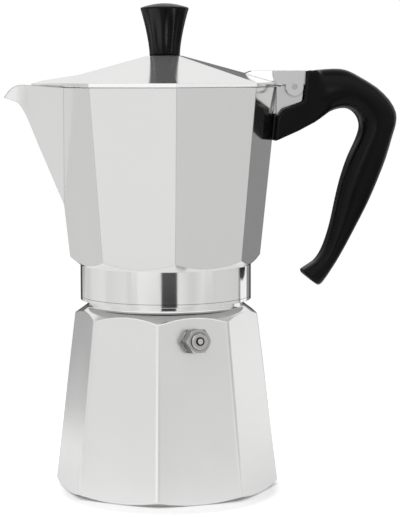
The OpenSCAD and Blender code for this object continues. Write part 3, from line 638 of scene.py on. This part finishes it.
def moulded(name, node, body, slot, material, grid, soft_share, passes, relief):
    """A copy of a CAD solid whose faces run into each other as in a moulding.

    soft_share(point in millimetres) is 1 where the joints between the faces are filled out, 0 elsewhere.
    relief(point in millimetres) is how far the surface there is moved along x, in millimetres.
    passes are the smoothing passes for the whole surface and for the joints."""
    source = placed(name, NODES[node].data.copy())
    weld = source.modifiers.new("weld", "WELD")
    weld.merge_threshold = 0.002 * MM
    remesh = source.modifiers.new("even_grid", "REMESH")
    remesh.mode = "VOXEL"
    remesh.voxel_size = grid
    remesh.use_smooth_shade = True
    evaluated = source.evaluated_get(bpy.context.evaluated_depsgraph_get())
    mesh = bpy.data.meshes.new_from_object(evaluated)
    bpy.data.objects.remove(source)
    mesh.materials.clear()
    mesh.materials.append(MATERIALS[material])
    piece = placed(name, mesh)
    filled = piece.vertex_groups.new(name="filled")
    for vertex in mesh.vertices:
        place = vertex.co / MM
        filled.add([vertex.index], soft_share(place), "REPLACE")
        vertex.co.x += relief(place) * MM
    for label, count in zip(("soft_edges", "filled_joints"), passes):
        smooth = piece.modifiers.new(label, "SMOOTH")
        smooth.factor = 0.5
        smooth.iterations = count
    smooth.vertex_group = filled.name
    belongs(piece, body, slot, node)


def ramped(value, low, high):
    """0 at low and 1 at high, straight between them and level beyond. low may be the larger."""
    return max(0.0, min(1.0, (value - low) / (high - low)))


def handle_share(point):
    """1 between the handle's fork and its outer bend, running out to 0 at both."""
    return ramped(point.x, *HANDLE_FORK_X) * ramped(point.x, *HANDLE_BEND_X)


def handle_relief(point):
    """Room for the heel of the lid when it is wide open."""
    return LID_HEEL_ROOM * ramped(point.z, *LID_HEEL_Z) * ramped(point.x, *LID_HEEL_X)


def make_handle():
    moulded("handle_moulding", "handle", "collector_body", "black_plastic", "plastic", HANDLE_GRID * MM,
            handle_share, HANDLE_PASSES, handle_relief)


def make_handle_screw(count=48):
    """The handle's screw with its head sunk into the recess."""
    corners = [Vector(corner) / MM for corner in NODES["handle_screw"].bound_box]
    axis_x = (corners[0].x + corners[4].x) / 2
    sunk_z = min(corner.z for corner in corners) + SCREW_SUNK
    top_z = max(corner.z for corner in corners)
    head_top_z = sunk_z + SCREW_HEAD_H
    # radius and height, from the middle of the socket outwards and then up to the shank's end
    socket = [(0, sunk_z + 1.1), (1.1, sunk_z + 0.9), (1.3, sunk_z + 0.1)]
    head = [(2.6, sunk_z + 0.15), (SCREW_HEAD_R, sunk_z + 0.5), (SCREW_HEAD_R, head_top_z)]
    shank = [(SCREW_SHANK_R, head_top_z), (SCREW_SHANK_R, top_z), (0, top_z)]
    profile = socket + head + shank
    columns = []
    for index in range(count):
        turn = math.tau * index / count
        way = Vector((math.cos(turn), math.sin(turn), 0))
        columns.append([Vector((axis_x, 0, z)) + way * r for r, z in profile])
    piece = skin("sunk_screw", columns, [0] * (len(profile) - 1), ["steel"])
    belongs(piece, "collector_body", "steel", "handle_screw")


def thread(name, body, slot, root_r, crest_r, low_z, turns, half=0.7, crest_half=0.21):
    """A screw thread as one ridge that winds up round the axis and runs out at both ends.
    half and crest_half are half its width at the foot and at the crest, in millimetres."""
    steps = 96
    run_out = 20
    least_rise = 0.05
    total = int(turns * steps)
    work = bmesh.new()
    rings = []
    for index in range(total + 1):
        turn = math.tau * index / steps
        height = low_z + THREAD_PITCH * index / steps
        rise = max(least_rise, min(1, index / run_out, (total - index) / run_out))
        crest = root_r + (crest_r - root_r) * rise
        into = root_r - math.copysign(THREAD_SUNK, crest_r - root_r)
        way = Vector((math.cos(turn), math.sin(turn)))
        section = [(into, height - half), (crest, height - crest_half),
                   (crest, height + crest_half), (into, height + half)]
        rings.append([work.verts.new(at(way, r, z) * MM) for r, z in section])
    for ring, following in zip(rings, rings[1:]):
        for side in range(4):
            beside = (side + 1) % 4
            work.faces.new((ring[side], ring[beside], following[beside], following[side]))
    work.faces.new(rings[0])
    work.faces.new(rings[-1])
    bmesh.ops.recalc_face_normals(work, faces=work.faces)
    piece = placed(name, finished_mesh(name, work))
    piece.data.materials.append(MATERIALS["turned"])
    belongs(piece, body, slot)


def make_threads():
    """The collar's ridge runs half a pitch above the neck's, between its turns."""
    thread("neck_thread", "boiler_body", "cast_aluminium",
           NECK_R, NECK_R + THREAD_DEPTH, THREAD_LOW_Z, 3)
    thread("collar_thread", "collector_body", "polished_aluminium",
           THREAD_BORE_R, THREAD_BORE_R - THREAD_DEPTH, THREAD_LOW_Z + THREAD_PITCH / 2, 2.6)


# ---------------------------------------------------------------- stage

# How bright the room is round the pot at eye level: degrees from the x axis, and brightness
ROUND_THE_POT = [
    (-180, 0.72), (-150, 0.77), (-131, 0.82), (-104, 0.74), (-78, 0.80), (-59, 0.66), (-48, 0.74),
    (-37, 0.64), (-16, 0.69), (19, 0.66), (21.5, 0.25), (23.5, 0.25), (26, 1.0), (33, 0.93), (44, 1.0),
    (46.5, 0.27), (58, 0.26), (84, 0.10), (100, 0.28), (112, 0.40), (120, 0.33), (128, 0.64), (137, 0.65),
    (150, 0.76), (172, 0.80), (180, 0.72),
]

# How bright it is below and above eye level: degrees from level, and brightness
BELOW_AND_ABOVE = [
    (-90, 0.86), (-22, 0.86), (-17, 0), (8.5, 0), (12.5, 0.86), (50, 0.88), (68, 0.45), (90, 0.42),
]

# Which of the two lists counts: degrees from level, and 0 for the first list or 1 for the second
OFF_EYE_LEVEL = [(-22, 1.0), (-17, 0.0), (8.5, 0.0), (12.5, 1.0)]

# Light and dark cards that stand round the pot: west and east edge, low and top edge, softness,
# all in degrees, and brightness. A later card covers an earlier one. Each says what it was placed for.
CARDS = [
    (-101.5, -80.5, -12, -4, 0.5, 0.03),  # dark strip in the collar
    (-100, -68, -3.2, 4.6, 0.6, 0.53),  # bracket and lugs
    (-20, 19, -15, -9.6, 0.5, 0.12),  # narrow dark band on the right, low
    (-25, 19, 0.4, 2.4, 0.5, 0.15),  # narrow dark band on the right, at eye level
    (-88, 40, -45, -22, 2, 0.1),  # dark, low on the right
    (-178, -110, -45, -19.5, 1.5, 0.75),  # spout
    (-170, -20, 22, 66, 3, 1.15),  # band on the neck, and rounded edges
    (-95, -62, 38, 53, 2, 1.4),  # the lid's tab
    (5, 175, 38, 89, 4, 0.52),  # the boiler's shoulder
    (-149, -134, -10.5, -5.8, 1, 0.69),  # the collar's left front
    (60, 110, -26, 4, 2, 0.05),  # dark behind the pot, for the rims
    (98, 130, 2.5, 14, 1.2, 0.12),  # the valve's side
    (112, 129, -24, -7.0, 1.2, 0.80),  # lower part of the boiler's far left face
    (-142, -104, -5.3, 3.6, 0.8, 1.1),  # the boiler's front edge
    (-47, -30, -5.5, 0.8, 0.8, 1.0),  # right part of the lid's skirt
]


def share_round(degrees):
    """A direction round the pot as a share of a full turn, from 0 at -180 degrees."""
    return degrees / 360 + 0.5


def share_up(degrees):
    """A height as a share of half a turn, from 0 straight down."""
    return degrees / 180 + 0.5


def make_world():
    """A studio of soft light and cards, which lights the pot and shows in it. The camera sees white."""
    world = bpy.data.worlds.new("studio")
    bpy.context.scene.world = world
    world.use_nodes = True
    graph = Graph(world.node_tree)
    direction = graph.node("ShaderNodeTexCoord").outputs["Generated"]
    x, y, z = graph.node("ShaderNodeSeparateXYZ", {0: direction}).outputs
    azimuth = graph.math("MULTIPLY_ADD", graph.math("ARCTAN2", y, x), 1 / math.tau, 0.5)
    height = graph.math("MULTIPLY_ADD", graph.math("ARCSINE", z), 1 / math.pi, 0.5)

    around = graph.ramp(azimuth, [(share_round(degrees), light) for degrees, light in ROUND_THE_POT])
    high = graph.ramp(height, [(share_up(degrees), light) for degrees, light in BELOW_AND_ABOVE])
    off_level = graph.ramp(height, [(share_up(degrees), share) for degrees, share in OFF_EYE_LEVEL])
    studio = graph.mix(off_level, around, high)
    for west, east, low, top, soft, light in CARDS:
        across = graph.band(azimuth, share_round(west), share_round(east), soft / 360)
        upright = graph.band(height, share_up(low), share_up(top), soft / 180)
        studio = graph.mix(graph.math("MULTIPLY", across, upright), studio, (light, light, light, 1))
    seen = graph.node("ShaderNodeLightPath").outputs["Is Camera Ray"]
    colour = graph.mix(seen, studio, WHITE)
    background = graph.node("ShaderNodeBackground", {"Color": colour, "Strength": 1.0})
    graph.node("ShaderNodeOutputWorld", {"Surface": background.outputs[0]})


def make_lamp(name, place, target, size, radiance, only=()):
    """A panel that is seen by no camera. With only, it lights nothing but those pieces."""
    data = bpy.data.lights.new(name, "AREA")
    data.shape = "RECTANGLE"
    data.size, data.size_y = size
    data.energy = radiance * math.pi * size[0] * size[1]
    lamp = placed(name, data)
    lamp.location = place
    lamp.rotation_euler = (Vector(target) - Vector(place)).to_track_quat("-Z", "Y").to_euler()
    lamp.visible_camera = False
    lamp.visible_glossy = bool(only)
    if only:
        lit = bpy.data.collections.new(name)
        for piece in only:
            lit.objects.link(piece)
        lamp.light_linking.receiver_collection = lit


def toward(place, azimuth, elevation, distance):
    """The point at that distance from a place, in a direction given in degrees."""
    round_by = math.radians(azimuth)
    level = distance * math.cos(math.radians(elevation))
    rise = distance * math.sin(math.radians(elevation))
    return Vector(place) + Vector((level * math.cos(round_by), level * math.sin(round_by), rise))


# The floor, in metres, and how much it glows for the camera in a painted shadow a little in front of the
# pot and away from it
FLOOR_R = 0.42
FLOOR_FADE = (0.45 * FLOOR_R, 0.95 * FLOOR_R)
FLOOR_DROP = 0.00005
SHADOW_MIDDLE = (0, -0.016, 0)
SHADOW_EDGE = (0.90 * BOILER_FOOT_R * MM, 1.12 * BOILER_FOOT_R * MM)
SHADOW_GLOW = 0.05
FLOOR_GLOW = 0.6


def make_floor():
    """A pale round floor that fades out. For the camera it is lifted to white, except in a disc a little
    in front of the pot, which makes a painted shadow.
    """
    work = bmesh.new()
    bmesh.ops.create_circle(work, cap_ends=True, segments=128, radius=FLOOR_R)
    floor = placed("floor", finished_mesh("floor", work))
    floor.location.z = -FLOOR_DROP
    material, graph = new_material("floor")
    place = graph.node("ShaderNodeTexCoord").outputs["Object"]
    from_middle = graph.measure("LENGTH", place)
    from_shadow = graph.measure("DISTANCE", place, SHADOW_MIDDLE)
    seen = graph.node("ShaderNodeLightPath").outputs["Is Camera Ray"]
    shade = shade_pair(graph, graph.noise(place, 300, 3), grey(0.80), grey(0.84))
    diffuse = graph.node("ShaderNodeBsdfDiffuse", {"Color": shade})
    # painted shadow: little glow in a disc round SHADOW_MIDDLE, where the floor's own shading shows, and
    # full glow beyond it
    glow = graph.stretch(from_shadow, *SHADOW_EDGE, SHADOW_GLOW, FLOOR_GLOW)
    strength = graph.math("MULTIPLY", seen, glow)
    lift = graph.node("ShaderNodeEmission", {"Color": WHITE, "Strength": strength})
    lit = graph.node("ShaderNodeAddShader", {0: diffuse.outputs[0], 1: lift.outputs[0]})
    fade = graph.stretch(from_middle, *FLOOR_FADE, 0, 1)
    clear = graph.node("ShaderNodeBsdfTransparent")
    mixed = graph.node("ShaderNodeMixShader", {0: fade, 1: lit.outputs[0], 2: clear.outputs[0]})
    graph.node("ShaderNodeOutputMaterial", {"Surface": mixed.outputs[0]})
    floor.data.materials.append(material)


def make_stage():
    """The room, the floor and four lamps, three of which light only the knob or only the handle."""
    make_world()
    make_floor()
    knob = bpy.data.objects["knob_moulding"]
    handle = bpy.data.objects["handle_moulding"]
    knob_middle = on_axis(CROWN_Z + KNOB_H / 2) * MM
    grip_side = Vector((0.085, -0.009, 0.21))
    make_lamp("top_light", (-0.15, -0.25, 1.15), (0, 0, 0.1), size=(1.1, 1.1), radiance=1.6)
    make_lamp("knob_strip", toward(knob_middle, -55, -22, 0.35), knob_middle,
              size=(0.022, 0.18), radiance=17, only=[knob])
    make_lamp("knob_fill", toward(knob_middle, -158, -22, 0.45), knob_middle,
              size=(0.36, 0.2), radiance=2.4, only=[knob])
    make_lamp("grip_fill", toward(grip_side, -101, 3, 0.8), grip_side,
              size=(0.10, 0.10), radiance=6, only=[handle])
    bpy.context.scene.view_settings.view_transform = "Standard"


# ---------------------------------------------------------------- main

make_camera()
dress_nodes()
finish_castings()
make_boiler()
make_knob()
make_handle()
make_handle_screw()
make_threads()
make_stage()
